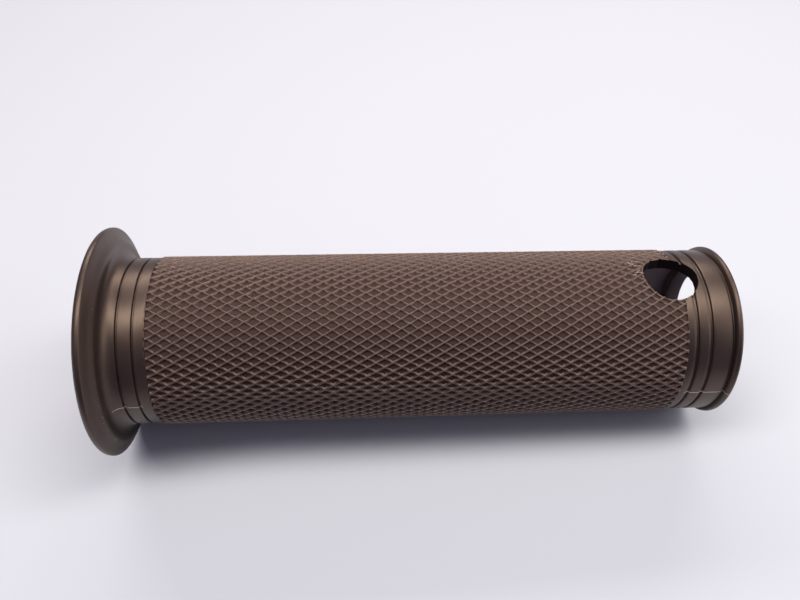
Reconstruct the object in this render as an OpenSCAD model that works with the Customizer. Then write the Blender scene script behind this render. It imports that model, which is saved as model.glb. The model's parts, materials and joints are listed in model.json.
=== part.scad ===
// Motorcycle throttle grip: a knurled rubber sleeve on a plastic throttle tube,
// which turns on two bearing bushes fixed on the handlebar.
// X runs outboard along the handlebar, Z points up through the side hole, and the
// origin is the centre of the handlebar bore at the inboard face. Millimetres.

/* [Grip sleeve] */
// Overall length from the inboard flange face to the outboard end
grip_length = 120; // [112:1:135]
// Diameter over the crests of the knurl
barrel_d = 33; // [32:0.5:36]
// Diameter of the bore that the throttle tube is bonded into
sleeve_bore_d = 28; // [27.5:0.25:28.5]
// Diameter of the opening in the outboard end
end_opening_d = 23.8; // [23:0.2:25]
// Depth of the inward lip round the outboard opening
end_lip_depth = 3; // [2:0.25:4]

/* [Inboard flange] */
// Diameter of the flange that keeps the hand off the switch housing
flange_d = 44.7; // [43.5:0.1:48]
// Thickness of the flange at the foot of its bevel
flange_thickness = 3.1; // [2.7:0.1:3.1]
// Width of the flange's edge, in front of the bevel
flange_edge = 1.3; // [1.2:0.1:1.6]
// How far the bevel comes down from the flange's edge
flange_bevel = 2.4; // [1.8:0.1:2.6]
// Radius of the fillet between the flange and the first ring
flange_fillet = 2.2; // [1.4:0.1:2.2]

/* [Rings and grooves] */
// How far the plain rings lie below the crests of the knurl
ring_drop = 0.2; // [0.1:0.05:0.4]
// Width of each thin groove
groove_width = 0.4; // [0.3:0.1:0.6]
// Depth of each thin groove
groove_depth = 0.45; // [0.3:0.05:0.6]
// Distance from the flange face to the first inboard groove
groove_start = 5.6; // [5.6:0.1:6.5]
// Distance between the two inboard grooves
ring_pitch = 2.8; // [2:0.1:3.2]
// Distance from the flange face to the start of the knurl
knurl_start = 10.7; // [10:0.1:12]
// Plain length between the end of the knurl and the outboard end
plain_end = 10.3; // [10:0.1:12]

/* [Outboard rim] */
// Diameter of the small rim at the outboard end
rim_d = 34; // [33.6:0.2:36]
// Width of the small rim
rim_width = 1.3; // [1.2:0.1:2]

/* [Side hole] */
// Diameter of the hole through the wall near the outboard end
side_hole_d = 10.4; // [8:0.2:11]
// Distance from the outboard end to the centre of the hole
side_hole_inset = 11.9; // [11:0.1:13]

/* [Throttle tube] */
// Clear diameter of the tube between its two bearing seats
tube_clear_d = 23.4; // [23:0.2:24]
// Distance from the tube's outboard end to the grip's outboard end
tube_end_inset = 19; // [18.5:0.5:24]
// Width of each drive notch in the tube's inboard end
notch_width = 6; // [4:0.5:8]
// Depth of each drive notch along the tube
notch_depth = 4; // [3:0.5:6]

/* [Bearing bushes] */
// Outside diameter of the handlebar that the bushes are pressed on
handlebar_d = 22.2; // [22.2:0.1:22.4]
// Outside diameter of each bush
bush_d = 25; // [24.6:0.2:25.4]
// Length of each bush
bush_length = 14; // [10:1:20]
// Radial running clearance between bush and tube
running_gap = 0.06; // [0.03:0.01:0.1]
// End gap between each bush and the shoulder in the tube
end_gap = 0.3; // [0.3:0.1:0.6]

/* [Hidden] */
$fn = 96;

barrel_r = barrel_d / 2;
ring_r = barrel_r - ring_drop;
flange_r = flange_d / 2;
rim_r = rim_d / 2;
tube_r = sleeve_bore_d / 2;
bush_r = bush_d / 2;
seat_r = bush_r + running_gap;
tube_length = grip_length - tube_end_inset;
knurl_end = grip_length - plain_end;
rim_x = grip_length - rim_width;

flange_round = 1.15;                    // rounding of the edge next to the face
bevel_round = 0.5;                      // rounding where the bevel starts
bevel_foot = 0.45;                      // how far the bevel's foot lies in front of the fillet
rim_round = 0.6;                        // rounding of the outboard rim
rim_step = 0.5;                         // length of the dip in front of the rim
shoulder_length = 0.2;                  // slope between a plain ring and the knurl
outboard_groove_inset = [8.5, 5.8];     // outboard grooves, from the outboard end
mouth_chamfer = 0.6;                    // lead-in at the outboard mouth
bush_chamfer = 0.4;                     // lead-in at both ends of a bush
grease_groove_w = 1.2;                  // width of a bush's two grease grooves
grease_groove_h = 0.3;                  // depth of a bush's two grease grooves
past = 1;                               // how far a cutting shape runs past a face
arc_steps = 10;

// Points on an ellipse about [r, x], from one angle to another
function arc(centre, radii, from, to) = [
    for (i = [0:arc_steps])
        let (a = from + (to - from) * i / arc_steps)
        [centre[0] + radii[0] * cos(a), centre[1] + radii[1] * sin(a)]
];

// A V-shaped groove in a surface of radius r, centred at x
function groove(r, x) = [
    [r, x - groove_width / 2],
    [r - groove_depth, x],
    [r, x + groove_width / 2]
];

// The flange: a rounded edge, a bevel, and a fillet down to the first ring
function flange_points() = concat(
    arc([flange_r - flange_round, flange_round], [flange_round, flange_round], -90, 0),
    arc([flange_r - bevel_round, flange_edge], [bevel_round, bevel_round], 0, 40),
    [[flange_r - flange_bevel, flange_thickness - bevel_foot]],
    arc([ring_r + flange_fillet, flange_thickness + flange_fillet],
        [flange_fillet, flange_fillet], -90, -180)
);

// The small rim: a dip in front of it, then a rounded edge
function rim_points() = [
    [ring_r, rim_x - rim_step],
    [ring_r - groove_depth, rim_x - rim_step / 2],
    [rim_r - rim_round, rim_x]
];

// Half of the sleeve's outline, as [radius, distance from the flange face]
function sleeve_points() = concat(
    [[0, 0]],
    flange_points(),
    groove(ring_r, groove_start),
    groove(ring_r, groove_start + ring_pitch),
    [[ring_r, knurl_start - shoulder_length], [barrel_r, knurl_start]],
    [[barrel_r, knurl_end], [ring_r, knurl_end + shoulder_length]],
    groove(ring_r, grip_length - outboard_groove_inset[0]),
    groove(ring_r, grip_length - outboard_groove_inset[1]),
    rim_points(),
    arc([rim_r - rim_round, rim_x + rim_round], [rim_round, rim_round], -45, 0),
    arc([rim_r - rim_round, grip_length - rim_round], [rim_round, rim_round], 0, 90),
    [[0, grip_length]]
);

// Turns a shape drawn along Z to lie along X
module along_x() {
    rotate([0, 90, 0]) children();
}

// A bore along the grip, from one distance to another
module bore(r, from, to) {
    translate([0, 0, from]) cylinder(r = r, h = to - from);
}

// A lead-in cone at the mouth of a bore of radius r, opening to its full width at x
module lead_in(r, x) {
    translate([0, 0, x - mouth_chamfer])
        cylinder(r1 = r, r2 = r + mouth_chamfer, h = mouth_chamfer);
}

// The moulded rubber sleeve, with its flange, rings, knurled barrel and open end
module grip_rubber() {
    color([0.17, 0.13, 0.12])
        difference() {
            along_x() difference() {
                rotate_extrude() polygon(sleeve_points());
                bore(tube_r, -past, grip_length - end_lip_depth);
                bore(end_opening_d / 2, 0, grip_length + past);
                lead_in(end_opening_d / 2, grip_length);
            }
            translate([grip_length - side_hole_inset, 0, 0])
                cylinder(d = side_hole_d, h = barrel_d);
        }
}

// The plastic tube that the cable drum drives through two notches
module throttle_tube() {
    color([0.10, 0.10, 0.11])
        along_x() difference() {
            cylinder(r = tube_r, h = tube_length);
            bore(tube_clear_d / 2, -past, tube_length + past);
            bore(seat_r, -past, bush_length + end_gap);
            bore(seat_r, tube_length - bush_length - end_gap, tube_length + past);
            for (side = [0, 180])
                rotate([0, 0, side])
                    translate([0, -notch_width / 2, -past])
                        cube([tube_r + past, notch_width, notch_depth + past]);
        }
}

// One bearing bush: it stays on the handlebar while the tube turns round it
module bush(start) {
    translate([start, 0, 0]) along_x() difference() {
        rotate_extrude() polygon([
            [0, 0],
            [bush_r - bush_chamfer, 0],
            [bush_r, bush_chamfer],
            [bush_r, bush_length - bush_chamfer],
            [bush_r - bush_chamfer, bush_length],
            [0, bush_length]
        ]);
        bore(handlebar_d / 2, -past, bush_length + past);
        for (third = [1, 2])
            translate([0, 0, third * bush_length / 3 - grease_groove_w / 2])
                difference() {
                    cylinder(r = bush_r + past, h = grease_groove_w);
                    cylinder(r = bush_r - grease_groove_h, h = grease_groove_w);
                }
    }
}

// The bush at the switch-housing end
module inboard_bush() {
    color([0.86, 0.85, 0.80]) bush(0);
}

// The bush near the end of the handlebar
module outboard_bush() {
    color([0.86, 0.85, 0.80]) bush(tube_length - bush_length);
}

grip_rubber();
throttle_tube();
inboard_bush();
outboard_bush();
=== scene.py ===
"""Looks for the throttle grip: the knurled rubber moulding, its tube and bushes, light and camera."""
import json
import math
import random

import bmesh
import bpy
from mathutils import Matrix, Vector


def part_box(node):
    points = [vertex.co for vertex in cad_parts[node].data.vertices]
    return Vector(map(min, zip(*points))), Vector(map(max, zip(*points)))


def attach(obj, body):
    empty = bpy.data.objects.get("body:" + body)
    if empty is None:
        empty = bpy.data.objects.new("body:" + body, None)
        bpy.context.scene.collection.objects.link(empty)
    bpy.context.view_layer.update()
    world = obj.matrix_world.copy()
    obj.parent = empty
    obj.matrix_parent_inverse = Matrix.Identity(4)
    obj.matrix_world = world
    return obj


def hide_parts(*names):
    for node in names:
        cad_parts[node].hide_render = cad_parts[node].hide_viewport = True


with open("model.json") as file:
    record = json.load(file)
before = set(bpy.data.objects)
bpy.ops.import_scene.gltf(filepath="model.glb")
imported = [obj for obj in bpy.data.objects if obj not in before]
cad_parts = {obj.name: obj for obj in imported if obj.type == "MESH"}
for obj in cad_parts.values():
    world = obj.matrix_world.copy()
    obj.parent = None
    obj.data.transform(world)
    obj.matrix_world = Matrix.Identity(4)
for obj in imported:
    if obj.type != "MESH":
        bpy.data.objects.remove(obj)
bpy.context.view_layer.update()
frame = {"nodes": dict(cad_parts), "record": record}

MM = 0.001

# ---- sizes from the frame -------------------------------------------------------------
grip_low, grip_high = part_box("grip_rubber")
mounts = {m["name"]: m for m in frame["record"]["mounts"]}
LENGTH = grip_high.x                                   # overall length, flange face at x = 0
FLANGE_R = grip_high.y                                 # radius of the inboard flange
TUBE_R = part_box("throttle_tube")[1].y                  # radius of the bore round the tube
MOUTH_R = mounts["outboard_opening"]["dims"]["r_mm"] * MM
HOLE_R = mounts["side_hole"]["dims"]["r_mm"] * MM
HOLE_X = mounts["side_hole"]["pos_m"][0]

# ---- the moulding's own sizes ---------------------------------------------------------
BARREL_R = 16.5 * MM          # over the crests of the knurl
RING_R = 16.3 * MM            # plain rings
RIM_R = 17.0 * MM             # small outboard rim
KNURL_START = 10.7 * MM
KNURL_END = LENGTH - 10.3 * MM
GROOVES_IN = (5.6 * MM, 8.4 * MM)
GROOVES_OUT = (LENGTH - 8.5 * MM, LENGTH - 5.8 * MM)
GROOVE_HALF = 0.19 * MM       # half the width of an inboard groove
WIDE_HALF = 0.31 * MM         # and of an outboard one
GROOVE_DEPTH = 0.50 * MM
# One side of a groove from its shoulder to its floor: the drop as a share of the depth,
# and the distance from the groove's middle as a share of half its width
GROOVE_SIDE = ((0, 2.4), (0.03, 1.5), (0.16, 1.15), (0.5, 0.95), (0.92, 0.7), (1.0, 0.3))
FLANGE_ROUND = 1.15 * MM      # rounding of the edge next to the face
FLANGE_EDGE = 1.3 * MM        # width of the edge, in front of the bevel
FLANGE_THICK = 3.1 * MM       # at the foot of the bevel
FLANGE_BEVEL = 2.4 * MM       # how far the bevel comes down from the edge
FLANGE_FILLET = 2.2 * MM
RIM_WIDTH = 1.3 * MM
RIM_ROUND = 0.6 * MM
END_LIP = 3.0 * MM            # depth of the inward lip at the outboard end
MOUTH_CURVE = ((0.6, 0), (0.15, 0.35), (0, 0.8))   # lead-in of the mouth: out and along, mm
LIP_CHAMFER = 0.3 * MM
BORE_CHAMFER = 0.4 * MM       # at the flange face

# ---- the knurl ------------------------------------------------------------------------
STARTS = 58                   # ridges of each hand round the barrel
PITCH = 3.125 * MM            # length of one diamond along the grip
PIT_DEPTH = 0.48 * MM
CREST_HALF = 0.060            # half a crest's width, as a share of the ridge spacing
FOOT = 0.155                  # from the crest's middle to the foot of its wall
LOW_HAND = 0.77               # height of the second hand's ridges against the first's
SHELL = 0.6 * MM              # thickness of the knurl's shell under the pits
OVERLAP = 0.4 * MM            # how much of that shell lies in the plain body
SEGMENTS = 3 * STARTS         # segments round the plain surfaces

# ---- the side hole's edge -------------------------------------------------------------
CUT_STEPS = 120               # points round the hole
CUT_ROUGH = 0.05 * MM         # how far its edge wanders
NICK = 0.13 * MM              # depth of a nick
NICK_CHANCE = 0.15            # share of the far side's points that are nicks
FAR_SIDE = 0.3                # the far side is where the sine of the angle is above this
CUT_SPAN = (0.3 * BARREL_R, 1.5 * BARREL_R)        # the cutter runs between these heights
COLLAR_DROP = 0.20 * MM       # how far the band round the hole lies under the crests
COLLAR_WIDTH = 0.25 * MM
COLLAR_DEPTH = 1.2 * MM       # how far the band reaches down from the crests
COLLAR_SPAN = (0.7 * BARREL_R, 1.2 * BARREL_R)     # the band is looked for between these heights

# ---- the mould's traces, loose rubber and dust ----------------------------------------
PARTING = math.radians(87)    # where the mould parted, from +Z towards -Y
FLASH_HEIGHT = 0.06 * MM
FLASH_HALF = 0.11 * MM        # half the width of its foot
FLASH_DEEPEST = RING_R - 0.4 * MM   # it leaves out the grooves' floors
# The two stretches that it runs along
FLASH_IN = (FLANGE_THICK + 0.35 * MM, KNURL_START - 0.6 * MM)
FLASH_OUT = (KNURL_END + 0.3 * MM, LENGTH - 0.5 * MM)
# Random ranges of lengths are in mm, and each bit's size is given by its three half sizes
FULL_TURN = (0, 2 * math.pi)
HALF_TURN = (0, math.pi)
SHREDS = 19                   # torn shreds beside the hole
SHRED_GAP = (-0.1, 2.1)       # inboard of the hole's edge
SHRED_ANGLE = (-15, 1)        # degrees from +Z
SHRED_LENGTH, SHRED_WIDTH, SHRED_HEIGHT = (0.25, 0.60), (0.06, 0.10), 0.13 * MM
SHRED_TURN = (-0.9, 0.5)      # radians from the grip's length
SHRED_LIFT = 0.01 * MM        # of its middle over the crests
FLECKS = 14                   # flecks of flash on the knurl
FLECK_REACH = 36 * MM         # how far they reach along the parting line
FLECK_CROWD = 1.5             # the higher this power, the more lie near the flange
FLECK_STRAY = (-0.01, 0.01)   # radians off the parting line
FLECK_LENGTH, FLECK_WIDTH, FLECK_HEIGHT = (0.07, 0.12), 0.06 * MM, 0.07 * MM
SPECKS = 60                   # specks of dust on the crests
SPECK_LENGTH, SPECK_WIDTH, SPECK_HEIGHT = (0.04, 0.08), 0.04 * MM, 0.05 * MM
CRUMBS = 28                   # specks in the valley behind the flange
CRUMB_X = (2.75, 3.0)
CRUMB_R = FLANGE_R - 2.25 * MM
CRUMB_SIZE, CRUMB_HEIGHT = (0.04, 0.07), 0.12 * MM
SINK = 0.02 * MM              # how far the middle of a fleck or a speck lies under the crest
KNURL_MARGIN = 0.5 * MM       # flecks and specks keep this far from the knurl's end
HOLE_MARGIN = 1.0 * MM        # and specks this far from the hole

# ---- the finishes, in the order of the moulding's materials ---------------------------
PLAIN, RIDGE, PIT, BORE, LIP, CUT, PALE = range(7)
WALL_DROP = 0.23 * MM         # the hole's wall starts this far under the crests
WALL_REACH = 0.22 * MM        # and lies within this of the hole's radius
BORE_REACH = 0.1 * MM         # the bore's faces lie within this of its radius
LIP_REACH = 0.2 * MM          # and the lip's within this of its inner face
PIT_SHARE = 0.75              # a face deeper than this share of the depth is a pit's floor
SHARP = math.radians(35)      # edges from this angle stay sharp


def new_object(name, data):
    """Links a mesh, a light or a camera to the scene as an object."""
    made = bpy.data.objects.new(name, data)
    bpy.context.scene.collection.objects.link(made)
    return made


def mesh_from(name, points, faces):
    """A mesh with outward normals from points and faces."""
    mesh = bpy.data.meshes.new(name)
    mesh.from_pydata(points, [], faces)
    shell = bmesh.new()
    shell.from_mesh(mesh)
    bmesh.ops.recalc_face_normals(shell, faces=shell.faces)
    shell.to_mesh(mesh)
    shell.free()
    return mesh


def on_grip(x, radius, angle):
    """A point at a distance along the grip, a radius, and an angle from +Z towards -Y."""
    return (x, -radius * math.sin(angle), radius * math.cos(angle))


def arc(centre, radii, start, stop, steps=8):
    """Points (radius, x) on an ellipse, with angles in degrees from the radial direction."""
    points = []
    for i in range(steps + 1):
        a = math.radians(start + (stop - start) * i / steps)
        points.append((centre[0] + radii[0] * math.cos(a), centre[1] + radii[1] * math.sin(a)))
    return points


def between(t, before, first, second, after):
    """The Catmull-Rom curve's value from first to second, which it reaches at t = 1."""
    square = 2 * before - 5 * first + 4 * second - after
    cube = 3 * first - before - 3 * second + after
    return 0.5 * (2 * first + (second - before) * t + square * t * t + cube * t ** 3)


def bend(points, steps=6):
    """A smooth curve through points (radius, x), without its last point."""
    ends = [points[0]] + points + [points[-1]]
    curve = []
    for four in zip(ends, ends[1:], ends[2:], ends[3:]):
        for i in range(steps):
            curve.append(tuple(between(i / steps, *values) for values in zip(*four)))
    return curve


def groove(radius, x, half):
    """A thin groove with rounded shoulders, given half its width."""
    side = [(radius - drop * GROOVE_DEPTH, gap * half) for drop, gap in GROOVE_SIDE]
    return [(r, x - gap) for r, gap in side] + [(r, x + gap) for r, gap in reversed(side)]


def flange_profile():
    """The flange as (radius, x): its rounded edge, its soft bevel and the fillet to the rings."""
    foot = FLANGE_R - FLANGE_BEVEL
    neck = RING_R + FLANGE_FILLET
    bevel = [
        (FLANGE_R, FLANGE_EDGE - 0.05 * MM),
        (FLANGE_R - 0.2 * MM, FLANGE_EDGE + 0.25 * MM),
        (foot + 0.75 * MM, FLANGE_THICK - 0.85 * MM),
        (foot, FLANGE_THICK - 0.42 * MM),
        (foot - 0.6 * MM, FLANGE_THICK - 0.12 * MM),
        (neck + 0.1 * MM, FLANGE_THICK),
    ]
    points = arc((FLANGE_R - FLANGE_ROUND, FLANGE_ROUND), (FLANGE_ROUND, FLANGE_ROUND), -90, 0)
    points += bend(bevel)
    points += arc((neck, FLANGE_THICK + FLANGE_FILLET), (FLANGE_FILLET, FLANGE_FILLET), -90, -180, 16)
    return points


def rim_profile():
    """The outboard rim as (radius, x): the dip in front of it and its rounded edge."""
    rim_x = LENGTH - RIM_WIDTH
    dip = [
        (RING_R, rim_x - 0.85 * MM),
        (RING_R - 0.08 * MM, rim_x - 0.58 * MM),
        (RING_R - 0.40 * MM, rim_x - 0.36 * MM),
        (RING_R - 0.46 * MM, rim_x - 0.08 * MM),
        (RING_R + 0.12 * MM, rim_x + 0.08 * MM),
    ]
    points = bend(dip)
    points += arc((RIM_R - RIM_ROUND, rim_x + RIM_ROUND + 0.1 * MM), (RIM_ROUND, RIM_ROUND), -62, 0)
    points += arc((RIM_R - RIM_ROUND, LENGTH - RIM_ROUND), (RIM_ROUND, RIM_ROUND), 0, 90)
    return points


def outer_profile():
    """The outside of the moulding as (radius, x), from the flange face to the outboard end."""
    core = BARREL_R - PIT_DEPTH - (SHELL - OVERLAP)
    points = flange_profile()
    for x in GROOVES_IN:
        points += groove(RING_R, x, GROOVE_HALF)
    points += [
        (RING_R - 0.02 * MM, KNURL_START - 0.55 * MM),
        (RING_R - 0.10 * MM, KNURL_START - 0.22 * MM),
        (RING_R - 0.30 * MM, KNURL_START - 0.03 * MM),
    ]
    points += [(core, KNURL_START + 0.02 * MM), (core, KNURL_END - 0.02 * MM)]
    points += [(RING_R - 0.08 * MM, KNURL_END), (RING_R, KNURL_END + 0.25 * MM)]
    for x in GROOVES_OUT:
        points += groove(RING_R, x, WIDE_HALF)
    return points + rim_profile()


def inner_profile():
    """The bore as (radius, x), from the outboard mouth back to the flange face."""
    lip = LENGTH - END_LIP
    points = [(MOUTH_R + out * MM, LENGTH - along * MM) for out, along in MOUTH_CURVE]
    points += [(MOUTH_R, lip + LIP_CHAMFER), (MOUTH_R + LIP_CHAMFER, lip), (TUBE_R, lip)]
    return points + [(TUBE_R, BORE_CHAMFER), (TUBE_R + BORE_CHAMFER, 0.0)]


def revolve(name, profile):
    """Turns a closed outline of (radius, x) points round the X axis."""
    points, faces = [], []
    count = len(profile)
    for s in range(SEGMENTS):
        angle = 2 * math.pi * s / SEGMENTS
        points += [on_grip(x, radius, angle) for radius, x in profile]
    for s in range(SEGMENTS):
        here, there = s * count, (s + 1) % SEGMENTS * count
        for i in range(count):
            j = (i + 1) % count
            faces.append((here + i, here + j, there + j, there + i))
    return mesh_from(name, points, faces)


def knurl_mesh():
    """A closed shell whose outside is the lattice of ridges and sunken diamonds.

    Both families of ridges are lines of a grid: u counts along one hand and v along the other.
    """
    offsets = (-CREST_HALF, CREST_HALF, FOOT, 1 - FOOT)
    heights = (1.0, 1.0, 0.0, 0.0)
    lines = len(offsets)
    around = STARTS * lines

    def at(n):
        return n // lines + offsets[n % lines]

    first = int(2 * lines * (KNURL_START / PITCH - 1.0))
    last = int(2 * lines * (KNURL_END / PITCH + 1.0)) + 1
    rows = last - first + 1
    inner = BARREL_R - PIT_DEPTH - SHELL
    outside, inside = [], []
    for i in range(around):
        for j in range(first, last + 1):
            u, v = at(i), at(i - j)
            height = max(heights[i % lines], LOW_HAND * heights[(i - j) % lines])
            radius = BARREL_R - PIT_DEPTH * (1 - height)
            x = PITCH * (u - v) / 2
            angle = math.pi * (u + v) / STARTS + math.pi / 2
            outside.append(on_grip(x, radius, angle))
            inside.append(on_grip(x, inner, angle))
    shift = len(outside)

    def spot(i, j):
        return i % around * rows + j - first

    faces = []
    for i in range(around):
        for j in range(first + 1, last):
            quad = (spot(i, j), spot(i + 1, j + 1), spot(i + 1, j), spot(i, j - 1))
            faces.append(quad)
            faces.append(tuple(shift + k for k in reversed(quad)))
        for end, middle in ((first, spot(i + 1, first + 1)), (last, spot(i, last - 1))):
            for a, b in ((spot(i, end), middle), (middle, spot(i + 1, end))):
                faces.append((a, b, b + shift, a + shift))
    return mesh_from("knurl", outside + inside, faces)


def cylinder(name, radius, start, stop, along_z=False, centre=(0, 0), segments=96):
    """A closed cylinder along X, or along Z through the given point."""
    made = bmesh.new()
    bmesh.ops.create_cone(
        made, cap_ends=True, segments=segments, radius1=radius, radius2=radius, depth=stop - start
    )
    middle = (start + stop) / 2
    if along_z:
        turn = Matrix.Translation((centre[0], centre[1], middle))
    else:
        turn = Matrix.Translation((middle, 0, 0)) @ Matrix.Rotation(math.pi / 2, 4, "Y")
    bmesh.ops.transform(made, matrix=turn, verts=made.verts)
    mesh = bpy.data.meshes.new(name)
    made.to_mesh(mesh)
    made.free()
    return new_object(name, mesh)


def combine(target, tool, operation):
    """Joins, cuts or intersects target with tool, and removes tool."""
    step = target.modifiers.new(operation, "BOOLEAN")
    step.operation = operation
    step.solver = "MANIFOLD"
    step.material_mode = "TRANSFER"
    step.object = tool
    bpy.context.view_layer.update()
    graph = bpy.context.evaluated_depsgraph_get()
    result = bpy.data.meshes.new_from_object(target.evaluated_get(graph))
    target.modifiers.clear()
    target.data = result
    bpy.data.objects.remove(tool)
    return target


def hole_cutter():
    """The side hole's cutter: round, with a few nicks where the tool tore the far edge."""
    random.seed(11)
    wander = [random.uniform(-1, 1) for _ in range(CUT_STEPS)]
    points, faces = [], []
    for i in range(CUT_STEPS):
        angle = 2 * math.pi * i / CUT_STEPS
        smooth = (wander[i - 1] + 2 * wander[i] + wander[(i + 1) % CUT_STEPS]) / 4
        torn = math.sin(angle) > FAR_SIDE and random.random() < NICK_CHANCE
        radius = HOLE_R + CUT_ROUGH * smooth + NICK * torn
        x, y = HOLE_X + radius * math.cos(angle), radius * math.sin(angle)
        points += [(x, y, z) for z in CUT_SPAN]
    for i in range(CUT_STEPS):
        a, b = 2 * i, 2 * ((i + 1) % CUT_STEPS)
        faces.append((a, b, b + 1, a + 1))
    faces += [tuple(range(0, 2 * CUT_STEPS, 2)), tuple(range(1, 2 * CUT_STEPS, 2))]
    return new_object("hole", mesh_from("hole", points, faces))


def hole_collar():
    """A narrow band round the hole, in which the pits of the knurl are partly filled."""
    start = HOLE_X - 1.5 * HOLE_R
    stop = KNURL_END - 0.03 * MM
    collar = cylinder("collar", BARREL_R - COLLAR_DROP, start, stop, segments=4 * STARTS)
    core = cylinder("core", BARREL_R - COLLAR_DEPTH, start - MM, stop + MM)
    combine(collar, core, "DIFFERENCE")
    column = cylinder("column", HOLE_R + COLLAR_WIDTH, *COLLAR_SPAN, along_z=True, centre=(HOLE_X, 0))
    return combine(collar, column, "INTERSECT")


def flash_fin(angle, outline):
    """The thin fin that the mould's parting plane left along a stretch of the outline."""
    points, faces = [], []
    for radius, x in outline:
        deep = radius - FLASH_HEIGHT
        turn = FLASH_HALF / deep
        points.append(on_grip(x, min(radius + FLASH_HEIGHT, FLANGE_R), angle))
        points += [on_grip(x, deep, angle - turn), on_grip(x, deep, angle + turn)]
    for i in range(len(outline) - 1):
        a, b = 3 * i, 3 * (i + 1)
        for k in range(3):
            n = (k + 1) % 3
            faces.append((a + k, a + n, b + n, b + k))
    faces += [(0, 1, 2), tuple(len(points) - 3 + k for k in (2, 1, 0))]
    return new_object("flash", mesh_from("flash", points, faces))


def flash_fins():
    """The fins on the plain surfaces at both ends, on both sides of the grip."""
    outline = [p for p in outer_profile() if p[0] > FLASH_DEEPEST]
    ends = [[p for p in outline if start < p[1] < stop] for start, stop in (FLASH_IN, FLASH_OUT)]
    return [flash_fin(PARTING + side, end) for side in (0, math.pi) for end in ends]


def bit(place, radius, size, turn):
    """Points of a tiny octahedron lying on the surface at (x, angle), by its three half sizes."""
    x, angle = place
    middle = Vector(on_grip(x, radius, angle))
    up = Vector(on_grip(0, 1, angle))
    along = Vector((1, 0, 0))
    across = up.cross(along)
    length = math.cos(turn) * along + math.sin(turn) * across
    width = up.cross(length)
    arms = [direction * half for direction, half in zip((length, width, up), size)]
    return [middle + sign * arm for arm in arms for sign in (1, -1)]


def on_crest(x, angle):
    """The nearest place on a crest of the first hand, at the same distance along the grip."""
    steps = 2 * x / PITCH
    ridge = round(((angle - math.pi / 2) * STARTS / math.pi + steps) / 2)
    return x, math.pi * (2 * ridge - steps) / STARTS + math.pi / 2


def pick(limits):
    """A random number between two limits."""
    return random.uniform(*limits)


def loose_bits():
    """Torn shreds beside the hole, flecks along the parting line, and specks of dust."""
    random.seed(5)
    bits = []
    crest = BARREL_R - SINK
    hole_edge = HOLE_X - HOLE_R
    knurl_edge = KNURL_START + KNURL_MARGIN
    for _ in range(SHREDS):
        place = (hole_edge - pick(SHRED_GAP) * MM, math.radians(pick(SHRED_ANGLE)))
        size = (pick(SHRED_LENGTH) * MM, pick(SHRED_WIDTH) * MM, SHRED_HEIGHT)
        bits.append(bit(place, BARREL_R + SHRED_LIFT, size, pick(SHRED_TURN)))
    for _ in range(FLECKS):
        x = knurl_edge + FLECK_REACH * random.random() ** FLECK_CROWD
        place = on_crest(x, PARTING + pick(FLECK_STRAY))
        size = (pick(FLECK_LENGTH) * MM, FLECK_WIDTH, FLECK_HEIGHT)
        bits.append(bit(place, crest, size, pick(HALF_TURN)))
    for _ in range(SPECKS):
        x = pick((knurl_edge, hole_edge - HOLE_MARGIN))
        place = on_crest(x, pick(FULL_TURN))
        size = (pick(SPECK_LENGTH) * MM, SPECK_WIDTH, SPECK_HEIGHT)
        bits.append(bit(place, crest, size, pick(HALF_TURN)))
    for _ in range(CRUMBS):
        place = (pick(CRUMB_X) * MM, pick(FULL_TURN))
        half = pick(CRUMB_SIZE) * MM
        bits.append(bit(place, CRUMB_R, (half, half, CRUMB_HEIGHT), pick(HALF_TURN)))
    faces = []
    for start in range(0, 6 * len(bits), 6):
        for a, b in ((0, 2), (2, 1), (1, 3), (3, 0)):
            faces += [(start + a, start + b, start + 4), (start + b, start + a, start + 5)]
    return new_object("bits", mesh_from("bits", [p for piece in bits for p in piece], faces))


def grip_moulding(finishes, pale):
    """The rubber moulding as one closed mesh, with its finishes and a pale one for loose rubber."""
    knurl = new_object("knurl", knurl_mesh())
    combine(knurl, cylinder("band", 2 * BARREL_R, KNURL_START, KNURL_END), "INTERSECT")
    body = new_object("grip_moulding", revolve("grip_moulding", outer_profile() + inner_profile()))
    combine(body, knurl, "UNION")
    combine(body, hole_collar(), "UNION")
    combine(body, hole_cutter(), "DIFFERENCE")
    body.data.materials.clear()
    for material in finishes:
        body.data.materials.append(material)
    for extra in flash_fins() + [loose_bits()]:
        extra.data.materials.append(pale)
        combine(body, extra, "UNION")
    sort_faces(body.data)
    return body


def finish_of(x, y, z):
    """Which finish the moulding has at a point on its surface."""
    radius = math.hypot(y, z)
    in_hole = z > 0 and math.hypot(x - HOLE_X, y) < HOLE_R + WALL_REACH
    # the bore, short of the lip, gets painted light
    if radius < TUBE_R + BORE_REACH:
        return BORE if x < LENGTH - END_LIP + LIP_REACH else LIP
    # the hole's wall gets painted shade
    if in_hole and radius < BARREL_R - WALL_DROP:
        return CUT
    if KNURL_START < x < KNURL_END:
        # the pits' floors get the painted shade of the pit finish
        return PIT if radius < BARREL_R - PIT_SHARE * PIT_DEPTH else RIDGE
    return PLAIN


def sort_faces(mesh):
    """Gives each face that is not pale its finish, and keeps true corners sharp."""
    shell = bmesh.new()
    shell.from_mesh(mesh)
    for face in shell.faces:
        if face.material_index != PALE:
            face.material_index = finish_of(*face.calc_center_median())
        face.smooth = face.material_index not in (PIT, PALE)
    for edge in shell.edges:
        ridges = all(face.material_index == RIDGE for face in edge.link_faces)
        edge.smooth = ridges or edge.calc_face_angle(0) < SHARP
    shell.to_mesh(mesh)
    shell.free()


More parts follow.
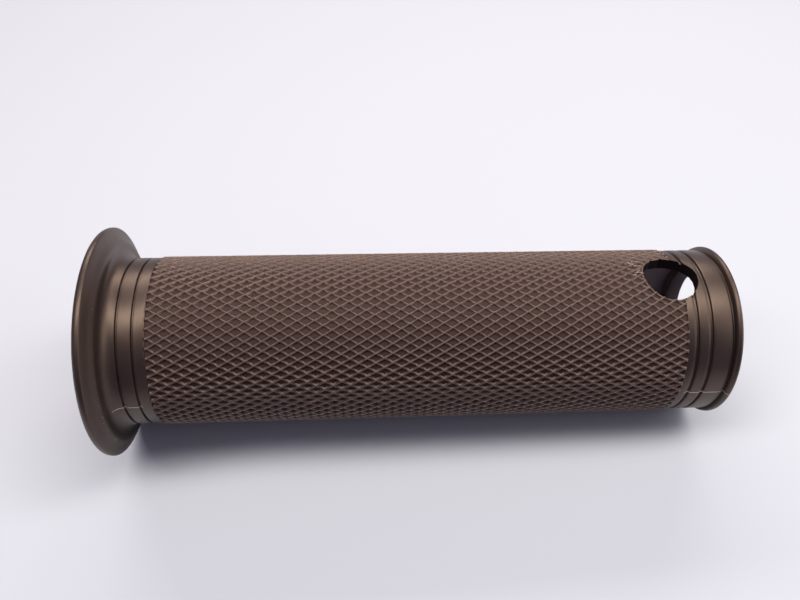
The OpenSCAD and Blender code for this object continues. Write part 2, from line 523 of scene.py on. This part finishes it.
# ---- materials ------------------------------------------------------------------------
CLOUD = (0.3, 0.7)            # the part of a noise's range that is spread over a ramp
MOTTLE_SCALE = 90
MOTTLE_SHARE = 0.35
MOTTLE_TONES = ((0.75, 0.75, 0.75), (1.1, 1.1, 1.1))
GRAIN_SCALE = 4500
GRAIN_STRENGTH = 0.25
RELIEF = 0.02 * MM            # depth of the grain and of the tool marks
CREST_SHARE = 0.15            # above this share of the pits' depth a ridge has its full colour; deeper, painted shade darkens it
ROUGH_SPREAD = 0.06
PLAIN_TINT = (1.0, 0.74, 0.58)
RIDGE_TINT = (1.0, 0.80, 0.70)
SHEEN_TINT = (1.0, 0.70, 0.54)
SHEEN_ROUGHNESS = 0.30
# painted shade: the knurl's pits are painted darker than its ridges
PIT_SHADE_COLOUR = (0.040, 0.0215, 0.0205)
TOOL_SCALE = 900              # of the rings that a tool leaves on plastic
TOOL_WOBBLE = 1.5
TOOL_STRENGTH = 0.15
PLASTIC_SPREAD = (-0.08, 0.10)


def shader(name):
    """A new material, its node tree and its main shader."""
    material = bpy.data.materials.new(name)
    material.use_nodes = True
    tree = material.node_tree
    return material, tree, tree.nodes["Principled BSDF"]


def math_node(tree, operation, first, second=None):
    """A math node on one or two sockets or numbers. Returns its output."""
    node = tree.nodes.new("ShaderNodeMath")
    node.operation = operation
    for socket, value in zip(node.inputs, (first, second)):
        if isinstance(value, (int, float)):
            socket.default_value = value
        elif value is not None:
            tree.links.new(value, socket)
    return node.outputs[0]


def ramp(tree, value, low, high, out_low=0.0, out_high=1.0):
    """Maps a value between two limits to another pair of limits."""
    node = tree.nodes.new("ShaderNodeMapRange")
    tree.links.new(value, node.inputs["Value"])
    limits = {"From Min": low, "From Max": high, "To Min": out_low, "To Max": out_high}
    for name, number in limits.items():
        node.inputs[name].default_value = number
    return node.outputs[0]


def mix_colour(tree, share, first, second, blend="MIX"):
    """Mixes two colours, each a socket or a triple, by a socket or a number."""
    node = tree.nodes.new("ShaderNodeMix")
    node.data_type = "RGBA"
    node.blend_type = blend
    for place, value in ((0, share), (6, first), (7, second)):
        if isinstance(value, tuple):
            node.inputs[place].default_value = (*value, 1)
        elif isinstance(value, (int, float)):
            node.inputs[place].default_value = value
        else:
            tree.links.new(value, node.inputs[place])
    return node.outputs[2]


def noise(tree, place, scale, detail=3.0):
    """A noise texture in object space. Returns its grey output."""
    node = tree.nodes.new("ShaderNodeTexNoise")
    node.inputs["Scale"].default_value = scale
    node.inputs["Detail"].default_value = detail
    tree.links.new(place, node.inputs["Vector"])
    return node.outputs["Fac"]


def relief(tree, principled, height, strength):
    """Fine relief on a surface, from a grey socket."""
    bump = tree.nodes.new("ShaderNodeBump")
    bump.inputs["Strength"].default_value = strength
    bump.inputs["Distance"].default_value = RELIEF
    tree.links.new(height, bump.inputs["Height"])
    tree.links.new(bump.outputs[0], principled.inputs["Normal"])


def distance_from_axis(tree, place):
    """The distance of a point from the grip's axis, as a socket."""
    split = tree.nodes.new("ShaderNodeSeparateXYZ")
    tree.links.new(place, split.inputs[0])
    squares = [math_node(tree, "POWER", axis, 2.0) for axis in split.outputs[1:]]
    return math_node(tree, "SQRT", math_node(tree, "ADD", *squares))


def rubber(name, colour, roughness, specular, sheen=0.0, tint=PLAIN_TINT, pit_shade_colour=None):
    """Warm dark rubber with a faint mottle and fine grain; given a pit colour, painted shade darkens it
    towards the pits' floors.
    """
    material, tree, principled = shader(name)
    place = tree.nodes.new("ShaderNodeTexCoord").outputs["Object"]
    cloud = noise(tree, place, MOTTLE_SCALE, 4)
    mottle = mix_colour(tree, ramp(tree, cloud, *CLOUD), *MOTTLE_TONES)
    tone = mix_colour(tree, MOTTLE_SHARE, colour, mottle, "MULTIPLY")
    # painted shade: the colour darkens from the crests to the pits' floors
    if pit_shade_colour:
        floor, crest = BARREL_R - PIT_DEPTH, BARREL_R - CREST_SHARE * PIT_DEPTH
        rise = ramp(tree, distance_from_axis(tree, place), floor, crest)
        tone = mix_colour(tree, rise, pit_shade_colour, tone)
    tree.links.new(tone, principled.inputs["Base Color"])
    wear = ramp(tree, cloud, *CLOUD, roughness - ROUGH_SPREAD, roughness + ROUGH_SPREAD)
    tree.links.new(wear, principled.inputs["Roughness"])
    relief(tree, principled, noise(tree, place, GRAIN_SCALE), GRAIN_STRENGTH)
    principled.inputs["Specular IOR Level"].default_value = specular
    principled.inputs["Specular Tint"].default_value = (*tint, 1)
    principled.inputs["Sheen Weight"].default_value = sheen
    principled.inputs["Sheen Roughness"].default_value = SHEEN_ROUGHNESS
    principled.inputs["Sheen Tint"].default_value = (*SHEEN_TINT, 1)
    return material


def rubber_materials():
    """The moulding's finishes, from PLAIN to CUT; the pits and the hole's wall carry painted shade, the
    bore painted light.
    """
    lit = {"sheen": 1.0, "tint": RIDGE_TINT}
    return [
        rubber("rubber_plain", (0.011, 0.0072, 0.0082), roughness=0.44, specular=1.0),
        rubber(
            "rubber_ridge", (0.066, 0.043, 0.038), roughness=0.48, specular=0.75,
            pit_shade_colour=PIT_SHADE_COLOUR, **lit,
        ),
        # painted shade: the pits' floors get the darker pit colour
        rubber("rubber_pit_painted_shade", PIT_SHADE_COLOUR, roughness=0.68, specular=0.35, **lit),
        # painted light: the bore's pale grey stands in for light inside it; the rubber itself is dark
        rubber("rubber_bore_painted_light", (0.20, 0.165, 0.185), roughness=0.85, specular=0.10),
        rubber("rubber_lip", (0.062, 0.050, 0.056), roughness=0.85, specular=0.10),
        # painted shade: the hole's wall is darkened to near black, as if in shadow
        rubber("rubber_cut_painted_shade", (0.010, 0.0065, 0.0075), roughness=0.85, specular=0.10),
    ]


def plastic(name, low, high, scale, roughness):
    """Moulded or turned plastic with a faint mottle between two colours and tool marks."""
    material, tree, principled = shader(name)
    place = tree.nodes.new("ShaderNodeTexCoord").outputs["Object"]
    cloud = noise(tree, place, scale, 5)
    tree.links.new(mix_colour(tree, cloud, low, high), principled.inputs["Base Color"])
    wear = ramp(tree, cloud, 0.0, 1.0, *(roughness + spread for spread in PLASTIC_SPREAD))
    tree.links.new(wear, principled.inputs["Roughness"])
    rings = tree.nodes.new("ShaderNodeTexWave")
    rings.bands_direction = "X"
    rings.inputs["Scale"].default_value = TOOL_SCALE
    rings.inputs["Distortion"].default_value = TOOL_WOBBLE
    tree.links.new(place, rings.inputs["Vector"])
    relief(tree, principled, rings.outputs["Fac"], TOOL_STRENGTH)
    return material


def repaint(node, material):
    """Puts a material in every slot of a CAD node."""
    for place in frame["nodes"][node].material_slots:
        place.material = material


# ---- the scene ------------------------------------------------------------------------
CAMERA_X = 47.8 * MM          # where the view is square to the grip's axis
CAMERA_FAR = 147.45 * MM      # from the axis to the lens
CAMERA_RISE = 52.15           # degrees above the grip's horizontal plane
CAMERA_TURN = (3.63, 2.73, -1.22)   # yaw, pitch and roll from square on, degrees
CAMERA_LENS = 32.69           # mm on a 36 mm sensor
SENSOR = 36
TABLE_HALF = 2.0              # half the table's width, and its depth behind the grip
TABLE_EDGE = -75 * MM         # its front edge
TABLE_COLOUR = (0.530, 0.562, 0.630)
TABLE_DROP = 0.02 * MM        # gap under the flange
SURROUND = (0.72, 0.62, 1.0)
SURROUND_STRENGTH = 0.15


def make_camera():
    """The camera, set from its distance to the axis and its small turns."""
    rise = math.radians(CAMERA_RISE)
    yaw, pitch, roll = (math.radians(a) for a in CAMERA_TURN)
    outward = Vector((0, -math.cos(rise), math.sin(rise)))
    upward = Vector((0, math.sin(rise), math.cos(rise)))
    along = Vector((1, 0, 0))
    forward = (
        math.sin(yaw) * math.cos(pitch) * along
        - math.cos(yaw) * math.cos(pitch) * outward
        + math.sin(pitch) * upward
    )
    right = math.cos(yaw) * along + math.sin(yaw) * outward
    above = right.cross(forward)
    side = math.cos(roll) * right + math.sin(roll) * above
    top = math.cos(roll) * above - math.sin(roll) * right
    data = bpy.data.cameras.new("camera")
    data.lens = CAMERA_LENS
    data.sensor_width = SENSOR
    camera = new_object("camera", data)
    turn = Matrix((side, top, -forward)).transposed().to_4x4()
    camera.matrix_world = Matrix.Translation(CAMERA_X * along + CAMERA_FAR * outward) @ turn
    bpy.context.scene.camera = camera


def make_floor():
    """A table top that touches the flange and the outboard rim from below, with its edge in front."""
    slope = math.atan2(FLANGE_R - RIM_R, LENGTH)
    mesh = bpy.data.meshes.new("floor")
    front = [(-TABLE_HALF, TABLE_EDGE, 0), (TABLE_HALF, TABLE_EDGE, 0)]
    back = [(TABLE_HALF, TABLE_HALF, 0), (-TABLE_HALF, TABLE_HALF, 0)]
    mesh.from_pydata(front + back, [], [(0, 1, 2, 3)])
    floor = new_object("floor", mesh)
    floor.matrix_world = (
        Matrix.Translation((FLANGE_ROUND, 0, -FLANGE_R - TABLE_DROP)) @ Matrix.Rotation(-slope, 4, "Y")
    )
    material, tree, principled = shader("floor")
    principled.inputs["Base Color"].default_value = (*TABLE_COLOUR, 1)
    principled.inputs["Roughness"].default_value = 0.7
    principled.inputs["Specular IOR Level"].default_value = 0.2
    mesh.materials.append(material)


def area_light(name, place, aim, size, power, colour, turn=0.0):
    """A rectangular light that looks at a point, turned about its own axis by some degrees."""
    data = bpy.data.lights.new(name, "AREA")
    data.shape = "RECTANGLE"
    data.size, data.size_y = size
    data.energy = power
    data.color = colour
    light = new_object(name, data)
    facing = (Vector(aim) - Vector(place)).to_track_quat("-Z", "Y").to_matrix()
    spin = Matrix.Rotation(math.radians(turn), 3, "Z")
    light.matrix_world = Matrix.Translation(place) @ (facing @ spin).to_4x4()


def light_scene():
    """Soft studio light: panels overhead, behind and at the right, and a dim violet surround."""
    world = bpy.data.worlds.new("surround")
    bpy.context.scene.world = world
    world.use_nodes = True
    surround = world.node_tree.nodes["Background"]
    surround.inputs["Color"].default_value = (*SURROUND, 1)
    surround.inputs["Strength"].default_value = SURROUND_STRENGTH
    area_light(
        "overhead", place=(0.02, -0.036, 0.42), aim=(0.02, -0.036, 0), size=(0.84, 0.14),
        power=3.05, colour=(1.0, 0.94, 0.87), turn=9,
    )
    area_light(
        "back", place=(0.03, 0.46, 0.37), aim=(0.04, 0.02, 0), size=(0.80, 0.14),
        power=2.9, colour=(1.0, 0.89, 0.80),
    )
    area_light(
        "right", place=(0.60, -0.10, 0.30), aim=(0.05, 0, 0), size=(0.50, 0.50),
        power=1.4, colour=(1.0, 0.95, 0.90),
    )


pale_rubber = rubber("rubber_pale", (0.42, 0.36, 0.32), roughness=0.8, specular=0.2)
moulding = grip_moulding(rubber_materials(), pale_rubber)
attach(moulding, "throttle")
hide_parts("grip_rubber")
tube_plastic = plastic("tube_plastic", (0.018, 0.018, 0.02), (0.03, 0.03, 0.033), scale=300, roughness=0.45)
bush_plastic = plastic("bush_plastic", (0.66, 0.64, 0.56), (0.76, 0.74, 0.67), scale=250, roughness=0.40)
repaint("throttle_tube", tube_plastic)
repaint("inboard_bush", bush_plastic)
repaint("outboard_bush", bush_plastic)

make_camera()
make_floor()
light_scene()
bpy.context.scene.view_settings.view_transform = "Standard"
